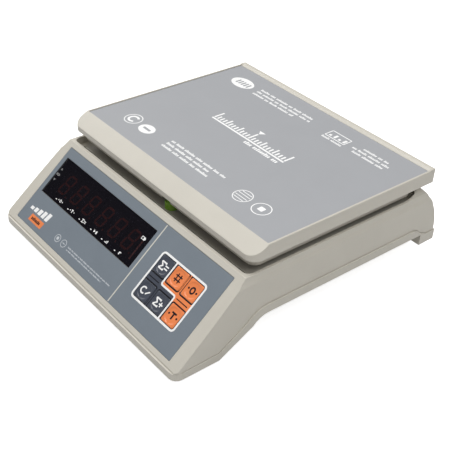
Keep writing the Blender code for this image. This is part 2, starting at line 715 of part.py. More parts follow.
def make_platform_frame():
    """The casting that carries the pan: two crossed arms on a hub over the cell's free end."""
    low, high = FRAME_Z
    middle = (low + high) / 2
    frame = box("platform_frame", (-0.040, CELL_Y - 0.022, low), (0.066, CELL_Y + 0.022, high))
    reach = math.hypot(CUSHION_X, CUSHION_DY) + 0.008
    for side in (-1, 1):
        arm = box(f"arm_{side + 1}", (-reach, -ARM_WIDTH / 2, low - middle),
                  (reach, ARM_WIDTH / 2, high - middle - 0.0003))
        angle = side * math.atan2(CUSHION_DY, CUSHION_X)
        arm.data.transform(Matrix.Translation((0, CELL_Y, middle)) @ Matrix.Rotation(angle, 4, "Z"))
        join(frame, arm)
    hub_low = CELL_Z + CELL_SIZE[2] + UPPER_SPACER + GAP
    join(frame, box("hub", (HUB_X[0], CELL_Y - 0.015, hub_low), (HUB_X[1], CELL_Y + 0.015, low + 0.001)))
    for number, x in enumerate(CELL_BOLT_X):
        hole_radius = CELL_BOLT_RADIUS + BOLT_GAP
        cut(frame, cylinder(f"frame_hole_{number}", (x, CELL_Y), hole_radius, (0.06, 0.1), 16))
    for number, (side, end) in enumerate(((-1, -1), (1, -1), (-1, 1), (1, 1))):
        place = (side * CUSHION_X, CELL_Y + end * CUSHION_DY)
        join(frame, cylinder(f"cushion_seat_{number}", place, 0.0115, (low, high - 0.0006), 20))
        cut(frame, cylinder(f"cushion_socket_{number}", place, 0.0040, (high - 0.004, high + 0.01), 12))
    finish(frame, "aluminium")
    set_origin(frame, (0, CELL_Y, low))


def make_cushions():
    """Rubber buffers on the casting's four ends, which the pan rests on."""
    seat = FRAME_Z[1] - 0.0006 + GAP
    for name, side, end in (("cushion_front_left", -1, -1), ("cushion_front_right", 1, -1),
                            ("cushion_rear_left", -1, 1), ("cushion_rear_right", 1, 1)):
        place = (side * CUSHION_X, CELL_Y + end * CUSHION_DY)
        cushion = cylinder(name, place, CUSHION_RADIUS, (seat, PAN_CEILING_Z - GAP), 20)
        bevel(cushion, 0.0010, 1, 60)
        join(cushion, cylinder(f"{name}_plug", place, 0.0036, (seat - 0.0030, seat + 0.001), 12))
        finish(cushion, "rubber")


# Pan

def make_pan():
    corner_x, corner_y = PAN_HALF_WIDTH - PAN_CORNER, PAN_Y[0] + PAN_CORNER
    plan = [(PAN_HALF_WIDTH, PAN_Y[1]), (-PAN_HALF_WIDTH, PAN_Y[1]),
            *arc((-corner_x, corner_y), PAN_CORNER, 180, 270, 6),
            *arc((corner_x, corner_y), PAN_CORNER, 270, 360, 6)]
    pan = flat_prism("pan", plan, (PAN_SKIRT_Z, PAN_LIP_Z))

    # the raised lip stays at the back, and the top is lower in front of it
    side_top = [(-0.10, PAN_EDGE_Z), (PAN_Y[1] - PAN_LIP, PAN_EDGE_Z),
                (PAN_Y[1] - PAN_LIP, 0.12), (-0.10, 0.12)]
    cut(pan, side_prism("above_side_edges", side_top, 0.2))
    run = (PAN_SLOPE_TOP[1] - PAN_SLOPE_BOTTOM[1]) / (PAN_SLOPE_TOP[0] - PAN_SLOPE_BOTTOM[0])
    far_y = -0.11
    slope = [(far_y, PAN_SLOPE_BOTTOM[1] - run * (PAN_SLOPE_BOTTOM[0] - far_y)),
             (-0.040, PAN_SLOPE_TOP[1] + run * (-0.040 - PAN_SLOPE_TOP[0])), (far_y, 0.13)]
    cut(pan, side_prism("front_slope", slope, 0.2))
    bevel(pan, 0.0005, 2, 20)

    seat = rounded_rectangle((-PAN_HALF_WIDTH + PAN_EDGE, PAN_HALF_WIDTH - PAN_EDGE),
                             (PAN_SLOPE_TOP[0] + 0.0006, PAN_Y[1] - PAN_LIP), 0.0010, 2)
    cut(pan, flat_prism("label_seat", seat, (PAN_TOP_Z - PAN_LABEL - GAP, 0.12)))

    lip_y = PAN_Y[1] - PAN_LIP
    lip_slope = [(lip_y - GAP, PAN_TOP_Z), (lip_y, PAN_TOP_Z), (lip_y + PAN_LIP_SLOPE, PAN_LIP_Z),
                 (lip_y + PAN_LIP_SLOPE, 0.12), (lip_y - GAP, 0.12)]
    cut(pan, side_prism("lip_slope", lip_slope, PAN_HALF_WIDTH - PAN_EDGE))

    # the second tier, then the hollow inside it and the pocket behind it
    tier = flat_prism("tier", rounded_rectangle((-PAN_TIER_X, PAN_TIER_X), PAN_TIER_Y, PAN_TIER_CORNER, 5),
                      (PAN_TIER_Z, PAN_SKIRT_Z + 0.002))
    middle_y = (PAN_TIER_Y[0] + PAN_TIER_Y[1]) / 2
    for vertex in tier.data.vertices:
        if vertex.co.z < PAN_SKIRT_Z:
            vertex.co.x -= math.copysign(PAN_TIER_LEAN, vertex.co.x)
            vertex.co.y -= math.copysign(PAN_TIER_LEAN, vertex.co.y - middle_y)
    join(pan, tier)
    inner = PAN_TIER_LEAN + PAN_WALL
    inner_x, inner_y = PAN_TIER_X - inner, (PAN_TIER_Y[0] + inner, PAN_TIER_Y[1] - inner)
    hollow = flat_prism("pan_hollow", rounded_rectangle((-inner_x, inner_x), inner_y, 0.0065, 4),
                        (0.06, 0.0885))
    upper_hollow = flat_prism("pan_upper_hollow", rounded_rectangle(
        (-inner_x, inner_x), (PAN_SLOPE_TOP[0] + 0.0020, inner_y[1]), 0.0065, 4), (0.06, PAN_CEILING_Z))
    rear_pocket = box("rear_pocket", (-0.1340, PAN_TIER_Y[1] + PAN_WALL, 0.08),
                      (0.1340, PAN_Y[1] - PAN_WALL, PAN_CEILING_Z))
    level_notch = box("level_notch", (LEVEL_NOTCH[0], -0.090, 0.07), (LEVEL_NOTCH[1], -0.068, 0.0795))
    cut(pan, hollow, upper_hollow, rear_pocket, level_notch)
    finish(pan, "casing_plastic")
    set_origin(pan, (0, CELL_Y, PAN_CEILING_Z))


def make_pan_label():
    edge = PAN_EDGE + GAP
    outline = rounded_rectangle((-PAN_HALF_WIDTH + edge, PAN_HALF_WIDTH - edge),
                                (PAN_SLOPE_TOP[0] + 0.0006 + GAP, PAN_Y[1] - PAN_LIP - GAP), 0.0008, 2)
    label = flat_prism("pan_label", outline, (PAN_TOP_Z - PAN_LABEL, PAN_TOP_Z))
    finish(label, "pan_print", smooth=False)
    set_origin(label, (0, CELL_Y, PAN_TOP_Z))


# Level, battery, switch and inlet

def turned(name, profile, place, steps=24):
    """A turned piece: a profile of (radius, z) from the top down, spun about the vertical."""
    mesh = bpy.data.meshes.new(name)
    mesh.from_pydata([(radius, 0.0, z) for radius, z in profile],
                     [(i, i + 1) for i in range(len(profile) - 1)], [])
    piece = add_object(name, mesh, CUTTERS)
    piece.location = place
    screw = piece.modifiers.new("spin", "SCREW")
    screw.steps = steps
    screw.render_steps = steps
    screw.use_merge_vertices = True
    screw.merge_threshold = 0.00001
    screw.use_normal_calculate = False
    return piece


def make_level():
    flange_z, top_z, floor_z = DECK_Z + GAP, 0.0730, 0.0685
    base = turned("level_body", ((0.0, floor_z), (0.0052, floor_z), (0.0054, top_z),
                                 (LEVEL_FLANGE - 0.0005, top_z),
                                 (LEVEL_FLANGE, top_z - 0.0005), (LEVEL_FLANGE, flange_z),
                                 (LEVEL_SHANK, flange_z), (LEVEL_SHANK, 0.0600), (0.0, 0.0600)),
                  (*LEVEL_AT, 0))
    finish(base, "level_fluid")
    vial = turned("level_vial", ((0.0, 0.0742), (0.0028, 0.0738), (0.0048, 0.0726), (0.0048, floor_z + GAP),
                                 (0.0, floor_z + GAP)), (*LEVEL_AT, 0))
    finish(vial, "level_fluid")


def make_battery():
    pack = box("battery_pack", (BATTERY_X[0], BATTERY_Y[0], 0.0303), (BATTERY_X[1], BATTERY_Y[1], 0.0560))
    bevel(pack, 0.003, 3)
    finish(pack, "battery_wrap")

    low, high = BATTERY_COVER_Z
    edge = BATTERY_COVER_EDGE
    cover = box("battery_cover", (BATTERY_X[0] - edge, BATTERY_Y[0] - edge, low),
                (BATTERY_X[1] + edge, BATTERY_Y[1] + edge, high))
    bevel(cover, 0.0008, 1)
    for number in range(3):
        x = BATTERY_X[0] + 0.001 + 0.004 * number
        join(cover, box(f"cover_grip_{number}", (x, -0.012, low - 0.0009),
                        (x + 0.0015, 0.012, low + 0.0006)))
    finish(cover, "casing_plastic")


def make_switch():
    x, y = SWITCH_AT
    half_x, half_y = SWITCH_SIZE[0] / 2, SWITCH_SIZE[1] / 2
    body = box("switch_body", (x - half_x, y - half_y, SWITCH_Z[0]), (x + half_x, y + half_y, SWITCH_Z[1]))
    flange_x, flange_y = half_x + SWITCH_FLANGE, half_y + SWITCH_FLANGE
    join(body, box("switch_flange", (x - flange_x, y - flange_y, SWITCH_Z[0] - 0.0010),
                   (x + flange_x, y + flange_y, SWITCH_Z[0] + 0.0007)))
    well_x, well_y = half_x - SWITCH_WALL, half_y - SWITCH_WALL
    cut(body, box("switch_well", (x - well_x, y - well_y, 0.02), (x + well_x, y + well_y, 0.0360)))
    finish(body, "black_plastic", smooth=False)

    reach, half = half_x - 0.0026, half_y - 0.0018
    hump = [(-reach, 0.0033), (-reach, -0.0012), (0.0, -0.0002), (reach, -0.0033), (reach, 0.0010),
            (0.0030, 0.0040), (-0.0030, 0.0040)]
    rocker = plate("power_rocker", hump, 2 * half,
                   Matrix.Translation((x, y, ROCKER_AXIS_Z - 0.001)) @ Matrix.Rotation(math.pi / 2, 4, "X"))
    bevel(rocker, 0.0005, 1, 50)
    finish(rocker, "black_plastic", smooth=False)
    set_origin(rocker, (x, y, ROCKER_AXIS_Z))


def make_jack():
    x, z = JACK_AT
    jack = lying_cylinder("dc_jack", (x, 0.1525, z), JACK_RADIUS, 0.0110, "Y", 24)
    join(jack, box("jack_block", (x - JACK_BLOCK, 0.1400, z - JACK_BLOCK),
                   (x + JACK_BLOCK, 0.1500, z + JACK_BLOCK)))
    cut(jack, lying_cylinder("jack_bore", (x, 0.1545, z), JACK_BORE, 0.0130, "Y", 20))
    join(jack, lying_cylinder("jack_pin", (x, 0.1510, z), JACK_PIN, 0.0090, "Y", 10))
    finish(jack, "black_plastic")


# Feet

def foot_stud_profile():
    """The stud's shank, then its thumb wheel, which stands just above the pad."""
    chamfer = 0.0006
    wheel_low = FOOT_PAD_Z + GAP
    return ((0.0, FOOT_STUD_Z), (FOOT_STUD_RADIUS - 0.0008, FOOT_STUD_Z),
            (FOOT_STUD_RADIUS, FOOT_STUD_Z - 0.001), (FOOT_STUD_RADIUS, FOOT_WHEEL_Z),
            (FOOT_WHEEL_RADIUS - chamfer, FOOT_WHEEL_Z), (FOOT_WHEEL_RADIUS, FOOT_WHEEL_Z - chamfer),
            (FOOT_WHEEL_RADIUS, wheel_low + chamfer), (FOOT_WHEEL_RADIUS - chamfer, wheel_low),
            (0.0, wheel_low))


def make_feet():
    for end, y in zip(("front", "rear"), FOOT_Y):
        for side, x in (("left", -FOOT_X), ("right", FOOT_X)):
            pad = turned(f"foot_pad_{end}_{side}",
                         ((0.0, FOOT_PAD_Z), (0.0095, FOOT_PAD_Z), (0.0125, 0.0045), (FOOT_RADIUS, 0.0020),
                          (FOOT_RADIUS, 0.0), (0.0, 0.0)), (x, y, 0), 28)
            finish(pad, "rubber")
            stud = turned(f"foot_stud_{end}_{side}", foot_stud_profile(), (x, y, 0), 24)
            finish(stud, "steel")


def make_cell_cable():
    """The load cell's lead, from its fixed end down beside it and forward to the main board."""
    route = ((-0.0665, 0.034, 0.0500), (-0.0690, 0.034, 0.0500), (-0.0712, 0.030, 0.0490),
             (-0.0715, 0.020, 0.0460), (-0.0700, 0.000, 0.0420), (-0.0660, -0.020, 0.0390),
             (-0.0600, -0.040, 0.0360), (-0.0570, -0.060, 0.0345), (-0.0560, -0.075, 0.0325),
             (-0.0560, -0.088, 0.0285), (-0.0565, -0.099, 0.0260), (-0.0568, -0.108, 0.0255))
    curve = bpy.data.curves.new("load_cell_cable", "CURVE")
    curve.dimensions = "3D"
    curve.bevel_depth = 0.0017
    curve.bevel_resolution = 2
    curve.use_fill_caps = True
    spline = curve.splines.new("POLY")
    spline.points.add(len(route) - 1)
    for point, place in zip(spline.points, route):
        point.co = (*place, 1.0)
    cable = mesh_of_curve(add_object("load_cell_cable", curve, CUTTERS))
    finish(cable, "cable_sheath")


clear_scene()
PARTS = make_collection("counting_scale")
CUTTERS = make_collection("cutters")
MATERIALS = {name: make_material(name) for name in COLOURS}
make_upper_casing()
make_lower_casing()
make_casing_screws()
make_panel_overlay()
make_display_lens()
make_display_module()
make_keys()
make_keypad_board()
make_main_board()
make_chassis()
make_load_cell()
make_platform_frame()
make_cushions()
make_pan()
make_pan_label()
make_level()
make_battery()
make_switch()
make_jack()
make_feet()
make_cell_cable()
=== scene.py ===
"""Looks of the counting scale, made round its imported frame.

Lengths are metres. What is on the console is laid out in the console's own frame: U to the right,
V up the slope and N out of it, from the middle of the overlay. What is printed on the pan is laid
out in X and Y on the pan's label.
"""
import json
import math

import bmesh
import bpy
from mathutils import Matrix, Vector


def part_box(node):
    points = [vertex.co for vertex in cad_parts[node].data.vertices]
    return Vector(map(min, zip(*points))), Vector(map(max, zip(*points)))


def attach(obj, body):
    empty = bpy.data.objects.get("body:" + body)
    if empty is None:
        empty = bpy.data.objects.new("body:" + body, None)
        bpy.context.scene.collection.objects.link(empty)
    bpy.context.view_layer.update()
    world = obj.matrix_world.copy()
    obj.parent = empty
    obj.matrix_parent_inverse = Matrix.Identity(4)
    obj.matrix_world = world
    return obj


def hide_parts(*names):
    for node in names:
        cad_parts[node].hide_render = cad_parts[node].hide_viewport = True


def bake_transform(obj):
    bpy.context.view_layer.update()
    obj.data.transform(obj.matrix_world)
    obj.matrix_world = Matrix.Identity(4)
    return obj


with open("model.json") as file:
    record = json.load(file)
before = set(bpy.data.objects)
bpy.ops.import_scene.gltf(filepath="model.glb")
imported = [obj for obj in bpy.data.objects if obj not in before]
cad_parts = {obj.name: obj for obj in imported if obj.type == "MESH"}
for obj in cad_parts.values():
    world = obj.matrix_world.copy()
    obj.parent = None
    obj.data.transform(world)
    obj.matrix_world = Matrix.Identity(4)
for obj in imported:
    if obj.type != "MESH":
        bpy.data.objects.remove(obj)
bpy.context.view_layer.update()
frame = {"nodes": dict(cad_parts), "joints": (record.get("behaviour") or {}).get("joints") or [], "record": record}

# Prints
INK = 0.00006             # thickness of a printed layer
OVERLAY_THICKNESS = 0.0005
MASK_THICKNESS = 0.00012
WELD = 0.000002           # points of a print that are nearer than this are one

# Keys and keypad
DARK_KEYS = ("key_total", "key_clear", "key_add")
ORANGE_KEYS = ("key_unit", "key_zero", "key_tare")
KEY_SIZE = (0.0170, 0.0176)
KEY_CORNER = 0.0012
KEY_RISE = 0.0003         # how far a cap stands above the overlay
KEY_DEPTH = 0.0020        # how far it reaches below it
KEY_EDGE = ((0.0, 0.0005), (0.00012, 0.0002), (0.00040, 0.0))   # in from the side, down from the face
KEY_STEPS = 64            # points round a cap
DISH_RADIUS = 0.0079
DISH_FLAT = 0.0064
DISH_DEPTH = 0.00060
KEY_GAP = 0.0003          # between a cap and the ink round it
KEY_FRAME = 0.0013        # how far a cap's black outline reaches beyond it
SUM_SIZE = 0.0080
SIGN_LINE = 0.0013
DOT_REACH = 0.0051        # of the two dots beside a key's sign
DOT_RADIUS = 0.0010

KEYPAD_U = (0.0514, 0.1146)
KEYPAD_V = (-0.0254, 0.0246)
KEYPAD_LINE = 0.0020
KEYPAD_CORNER = 0.0042
ZONE_CORNER = 0.003
DIVIDER = (0.0722, -0.0001, 0.0928)   # U of its upper run, V of its step, U of its lower run
DIVIDER_CORNER = 0.002
DIVIDER_LINE = 0.0017
RULE_V = (-0.0013, -0.0004)
LEVEL_RULES = ((0.0547, 0.0694), (0.0953, 0.1103))
UPRIGHT_RULES = ((0.0929, 0.0055, 0.0204), (0.0724, -0.0220, -0.0060))   # U, then V from and to
RULE_WIDTH = 0.0006
RULE_PAIR = (-0.0012, 0.0007)         # where the two lines of an upright rule start

# Marks on the console
BLOCKS = 5
BLOCKS_START = (-0.1215, -0.0290)
BLOCK_PITCH = 0.0066
BLOCK_WIDTH = 0.0050
BLOCK_HEIGHT = 0.0034     # of the first block
BLOCK_GAIN = 0.0014       # what each next one is taller by
BLOCK_SLANT = 0.2
RING_PLACES = ((-0.0635, -0.0325), (-0.0527, -0.0325))
RING_RADIUS = 0.0040
RING_WIDTH = 0.0006
RING_DOT = 0.0017         # radius of the dot in the first ring
RING_BAR = (-0.0545, -0.0509, -0.0329, -0.0321)       # in the second: U from and to, V from and to
CONSOLE_PRINT = ((0.0265, -0.0328, 0), (0.0150, -0.0356, 3))     # U where a line ends, V, first word
CONSOLE_PRINT_START = -0.0447
CONSOLE_PRINT_HEIGHT = 0.0014
TAG_CENTRE = (-0.1023, -0.0350)
TAG_SIZE = (0.0225, 0.0072)
TAG_CORNER = 0.0006
TAG_SLANT = 0.12
TAG_MARKS = (-0.1105, -0.0945, -0.0366, 0.0034, 2)    # U from and to, V, height, first word
DISPLAY_EDGE_U = (0.0354, 0.0366)     # the line between the display and the keypad
DISPLAY_EDGE_SPARE = 0.0008           # what it stops short of the overlay's edges by

# Display
WINDOW_HEIGHT = 0.0416
DIGIT_SIZE = (0.0128, 0.0222)
DIGIT_LINE = 0.0023
DIGIT_LOW = 0.0008        # V of the digits' feet
DIGITS_A_MODULE = 3
POINT = (0.0083, 0.0014)  # the decimal point's place beside a digit, and its V
POINT_RADIUS = 0.0011
MASK_OPENING_V = (-0.0020, 0.0260)
LEVEL_BAR_U = (0.0221, 0.0243)
LEVEL_BAR_V = -0.0026
LEVEL_BAR_PITCH = 0.0035
LEVEL_BAR_STEP = 0.0033
LEVEL_BAR_STEPS = 6
WINDOW_SIGN_U = (-0.0928, -0.0710, -0.0500, -0.0294, -0.0106, 0.0111)
WINDOW_SIGN_V = -0.0042
LENS_FACE = -0.0001       # the next three are measured out of the overlay's face
MASK_LEVEL = -0.0017
MODULE_FACE = -0.0022
DIGIT_SLANT = 0.176
WINDOW_ALPHA = 0.54

# Marks on the pan
PRINT_HEIGHT = 0.0034     # of the small print's capitals
PRINT_PITCH = 0.0060      # from one line of it to the next
UPPER_PRINT_Y = 0.1163
LOWER_PRINT_Y = -0.0280
STAMP_Y = -0.0324         # the middle of the row of round stamps
RULER_TICKS = 25

# Level
LEVEL_RING = (0.0026, 0.0004)         # radius and width of the black ring
BUBBLE_SHIFT = (0.0004, -0.0003)
BUBBLE_PROFILE = ((0.0004, 0.00002), (0.0011, 0.00010), (0.0015, -0.00002), (0.0016, -0.00030),
                  (0.0010, -0.00060))   # radius, and height over the vial's top

# Power switch
ROCKER_BAR = (0.0026, 0.0006)
ROCKER_RING = (0.0014, 0.0005)

# Load cell
CELL_BEND = 0.026         # how far the part that bends reaches either way from the cell's middle
CELL_CUTS = 12

# Camera
CAMERA_PLACE = (0.5658, -0.4785, 0.5318)
CAMERA_TURN = (55.03, -2.781, 51.149)
CAMERA_LENS = 71.89
SENSOR = 36.0
NEAREST = 0.01

# Studio
LAMPS = (("overhead", (-0.3, 0.0, 1.9), 1.4, 20),      # name, place, side and power
         ("left_box", (-1.6, 0.1, 1.2), 1.0, 7),
         ("right_box", (1.1, -0.35, 1.7), 1.0, 11))
ROOM_GLOW = 0.33          # light from all round
FLOOR_GLOW = 0.80         # what the camera sees of a white sweep, beyond the light that falls on it
FLOOR_SIDE = 12
FLOOR_GAP = 0.0001        # keeps the floor off the feet
FLOOR_SHADE = 0.78

# Colours and surfaces
WHITE = (0.93, 0.93, 0.92)
DARK_INK = (0.060, 0.069, 0.092)
ORANGE_INK = (0.86, 0.245, 0.080)
MIDDLE_PART = (0.3, 0.7)  # of a noise's values, where nearly all of them lie
EDGE_SAMPLES = 6
EDGE_AGREEMENT = (0.995, 0.90)        # between the true normal and the rounded one, on a face and on an edge
FILM_GRAIN = 2600
SMOOTH = 0.000008         # relief of a moulded surface or a film
GLOSSY = 0.000003         # relief of a key's face


# Materials

def blank_material(name):
    material = bpy.data.materials.new(name)
    material.use_nodes = True
    tree = material.node_tree
    return material, tree, tree.nodes["Principled BSDF"]


def noise(tree, scale, detail):
    """Noise on the object's own coordinates."""
    place = tree.nodes.new("ShaderNodeTexCoord")
    texture = tree.nodes.new("ShaderNodeTexNoise")
    texture.inputs["Scale"].default_value = scale
    texture.inputs["Detail"].default_value = detail
    tree.links.new(place.outputs["Object"], texture.inputs["Vector"])
    return texture.outputs["Fac"]


def spread(tree, source, low, high):
    """A noise or another value, with its middle part stretched to reach from low to high."""
    node = tree.nodes.new("ShaderNodeMapRange")
    node.inputs["From Min"].default_value = MIDDLE_PART[0]
    node.inputs["From Max"].default_value = MIDDLE_PART[1]
    node.inputs["To Min"].default_value = low
    node.inputs["To Max"].default_value = high
    tree.links.new(source, node.inputs["Value"])
    return node.outputs["Result"]


def tinted(tree, source, dark, light):
    """Two colours mixed by a noise."""
    mix = tree.nodes.new("ShaderNodeMix")
    mix.data_type = "RGBA"
    mix.inputs["A"].default_value = (*dark, 1)
    mix.inputs["B"].default_value = (*light, 1)
    tree.links.new(source, mix.inputs["Factor"])
    return mix.outputs["Result"]


def shade_of(colour, factor):
    return tuple(channel * factor for channel in colour)


def rounded_edges(tree, radius):
    """The normal of edges rounded by a radius, and how near an edge each place is, from 0 to 1."""
    bevel = tree.nodes.new("ShaderNodeBevel")
    bevel.samples = EDGE_SAMPLES
    bevel.inputs["Radius"].default_value = radius
    true_normal = tree.nodes.new("ShaderNodeNewGeometry")
    agreement = tree.nodes.new("ShaderNodeVectorMath")
    agreement.operation = "DOT_PRODUCT"
    tree.links.new(bevel.outputs["Normal"], agreement.inputs[0])
    tree.links.new(true_normal.outputs["Normal"], agreement.inputs[1])
    nearness = tree.nodes.new("ShaderNodeMapRange")
    nearness.inputs["From Min"].default_value, nearness.inputs["From Max"].default_value = EDGE_AGREEMENT
    tree.links.new(agreement.outputs["Value"], nearness.inputs["Value"])
    return bevel.outputs["Normal"], nearness.outputs["Result"]


def surface(name, colour, roughness, variation=0.04, mottle=60, grain=1500, depth=0.00002, metallic=0.0,
            gloss_change=0.06, specular=0.5, edge=0.0, edge_wear_and_highlight=0.12):
    """A surface with a mottled colour, an uneven gloss and a fine grain in relief.

    Where edge isn't 0, edges are rounded by that radius and painted a little paler: partly wear, partly a painted
    highlight along the edges.
    """
    material, tree, shader = blank_material(name)
    shader.inputs["Metallic"].default_value = metallic
    shader.inputs["Specular IOR Level"].default_value = specular
    patches = spread(tree, noise(tree, mottle, 4.0), 0.0, 1.0)
    colours = tinted(tree, patches, shade_of(colour, 1 - variation), shade_of(colour, 1 + variation))
    normal = None
    if edge:
        normal, nearness = rounded_edges(tree, edge)
        # Edges painted paler: partly wear, partly a painted highlight along them.
        worn_and_highlit_edges = tree.nodes.new("ShaderNodeMix")
        worn_and_highlit_edges.data_type = "RGBA"
        worn_and_highlit_edges.inputs["B"].default_value = (*shade_of(colour, 1 + edge_wear_and_highlight), 1)
        tree.links.new(colours, worn_and_highlit_edges.inputs["A"])
        tree.links.new(nearness, worn_and_highlit_edges.inputs["Factor"])
        colours = worn_and_highlit_edges.outputs["Result"]
    tree.links.new(colours, shader.inputs["Base Color"])
    gloss = spread(tree, noise(tree, mottle * 3, 5.0), roughness - gloss_change, roughness + gloss_change)
    tree.links.new(gloss, shader.inputs["Roughness"])
    bump = tree.nodes.new("ShaderNodeBump")
    bump.inputs["Distance"].default_value = depth
    bump.inputs["Strength"].default_value = 1.0
    if normal:
        tree.links.new(normal, bump.inputs["Normal"])
    tree.links.new(noise(tree, grain, 2.0), bump.inputs["Height"])
    tree.links.new(bump.outputs["Normal"], shader.inputs["Normal"])
    return material


def ink(name, colour, roughness=0.42, variation=0.02, mottle=200, depth=0.000004, specular=0.5):
    """The surface of a print."""
    return surface(name, colour, roughness, variation, mottle, FILM_GRAIN, depth, specular=specular)


# One for each material slot of the record
MATERIALS = {
    # Where a surface below has edge set, its edges are painted paler: partly wear, partly a painted highlight
    # along them.
    "casing_plastic": surface("moulded_plastic", (0.60, 0.570, 0.500), 0.33, 0.015, 45, 2400, SMOOTH,
                              gloss_change=0.025, edge=0.0008, edge_wear_and_highlight=0.22),
    "overlay_print": surface("slate_film", (0.190, 0.222, 0.256), 0.38, 0.02, grain=FILM_GRAIN,
                             depth=SMOOTH, gloss_change=0.03),
    "pan_print": surface("pale_film", (0.375, 0.383, 0.400), 0.36, 0.012, 30, FILM_GRAIN, SMOOTH,
                         gloss_change=0.03),
    "window_tint": surface("tinted_window", (0.012, 0.011, 0.015), 0.10, depth=0.000002, gloss_change=0.02),
    "key_dark": surface("dark_key", DARK_INK, 0.17, grain=FILM_GRAIN, depth=GLOSSY, gloss_change=0.02),
    "key_orange": surface("orange_key", ORANGE_INK, 0.17, grain=FILM_GRAIN, depth=GLOSSY, gloss_change=0.02),
    "circuit_board": surface("solder_mask", (0.02, 0.15, 0.06), 0.45, 0.25, 400),
    "digit_plastic": surface("digit_face", (0.016, 0.012, 0.012), 0.55),
    "aluminium": surface("cast_aluminium", (0.72, 0.73, 0.75), 0.38, 0.06, 300, 900, 0.00005, 1.0,
                         edge=0.0005),
    "steel": surface("zinc_plate", (0.58, 0.58, 0.57), 0.30, 0.08, 250, 1200, 0.00002, 1.0, edge=0.0003),
    "rubber": surface("black_rubber", (0.028, 0.028, 0.028), 0.78, 0.2, 120, 1100, 0.00004, edge=0.0005,
                      edge_wear_and_highlight=0.5),
    "black_plastic": surface("black_plastic", (0.022, 0.022, 0.023), 0.42, 0.1, edge=0.0004, edge_wear_and_highlight=0.8),
    "battery_wrap": surface("shrink_wrap", (0.03, 0.09, 0.25), 0.30, 0.08),
    "level_fluid": surface("level_vial", (0.32, 0.62, 0.07), 0.12, 0.10),
    "cable_sheath": surface("cable_sheath", (0.10, 0.10, 0.11), 0.55, 0.1),
}

INKS = {
    "white": ink("white_ink", WHITE),
    "grey": ink("grey_ink", (0.22, 0.22, 0.22), 0.45),
    "soft": ink("soft_white_ink", (0.58, 0.61, 0.64)),
    "cream": ink("cream_ink", (0.66, 0.64, 0.57)),
    "black": ink("black_ink", (0.012, 0.012, 0.016), 0.45, 0.05, specular=0.15),
    "dark": ink("dark_zone_ink", DARK_INK, 0.38, 0.03, 120, 0.000005, 0.35),
    "orange": ink("orange_zone_ink", ORANGE_INK, 0.38, 0.03, 120, 0.000005, 0.35),
    "unlit": ink("unlit_segment", (0.35, 0.068, 0.035), 0.55, 0.06, 300),
    "unlit_bar": ink("unlit_bar", (0.66, 0.24, 0.21), 0.55, 0.06, 300),
    "bubble": ink("air_bubble", (0.72, 0.92, 0.45), 0.10, 0.02, 300, 0.000002),
    "mask": ink("window_mask", (0.005, 0.005, 0.005), 0.60, 0.05),
}
MATERIALS["window_tint"].node_tree.nodes["Principled BSDF"].inputs["Alpha"].default_value = WINDOW_ALPHA
DULL = (MATERIALS["window_tint"], MATERIALS["digit_plastic"], INKS["mask"], INKS["unlit"], INKS["unlit_bar"])
for dull in DULL:
    dull.node_tree.nodes["Principled BSDF"].inputs["Specular IOR Level"].default_value = 0.0


def paint_nodes():
    """Give every node the material of its slot in the record."""
    slots = {entry["node"]: entry["material_slot"] for entry in frame["record"]["subparts"]}
    for name, node in frame["nodes"].items():
        for index in range(max(1, len(node.material_slots))):
            if not node.material_slots:
                node.data.materials.append(None)
            node.material_slots[index].material = MATERIALS[slots[name]]


# Flat outlines

def arc(centre, radius, start, end, steps):
    """Points on an arc, from one angle to another in degrees."""
    turns = [math.radians(start + (end - start) * step / steps) for step in range(steps + 1)]
    return [(centre[0] + radius * math.cos(turn), centre[1] + radius * math.sin(turn)) for turn in turns]


def ellipse(centre, radius_x, radius_y, steps=32):
    turns = [2 * math.pi * step / steps for step in range(steps)]
    return [(centre[0] + radius_x * math.cos(turn), centre[1] + radius_y * math.sin(turn)) for turn in turns]


def circle(centre, radius, steps=32):
    return ellipse(centre, radius, radius, steps)


def ring(centre, radius, width):
    return [circle(centre, radius), circle(centre, radius - width)]


def rounded_rectangle(centre, size, radius, steps=5):
    half_x, half_y = size[0] / 2 - radius, size[1] / 2 - radius
    points = []
    for quarter, (side, end) in enumerate(((1, 1), (-1, 1), (-1, -1), (1, -1))):
        corner = (centre[0] + side * half_x, centre[1] + end * half_y)
        points += arc(corner, radius, 90 * quarter, 90 * quarter + 90, steps)
    return points


def frame_outline(centre, size, radius, width):
    """A rounded rectangle's border as an outer and an inner outline."""
    inner = (size[0] - 2 * width, size[1] - 2 * width)
    return [rounded_rectangle(centre, size, radius),
            rounded_rectangle(centre, inner, max(radius - width, 0.0001))]


def bar(left, right, low, high, radius=0.0):
    centre, size = ((left + right) / 2, (low + high) / 2), (right - left, high - low)
    return rounded_rectangle(centre, size, radius or min(size) * 0.12, 2)


def stroke(points, width):
    """The outline of a line of some width along the points, with mitred corners."""
    half = width / 2
    sides = []
    for index, point in enumerate(points):
        here = Vector(point)
        before = (here - Vector(points[index - 1])).normalized() if index else None
        after = (Vector(points[index + 1]) - here).normalized() if index + 1 < len(points) else None
        along = ((before or after) + (after or before)).normalized()
        across = Vector((-along.y, along.x))
        reach = half / max(0.35, along.dot(before or after))
        sides.append((here + across * reach, here - across * reach))
    return [tuple(left) for left, _ in sides] + [tuple(right) for _, right in reversed(sides)]


def slanted(outline, pivot_v, slope):
    return [(x + (v - pivot_v) * slope, v) for x, v in outline]


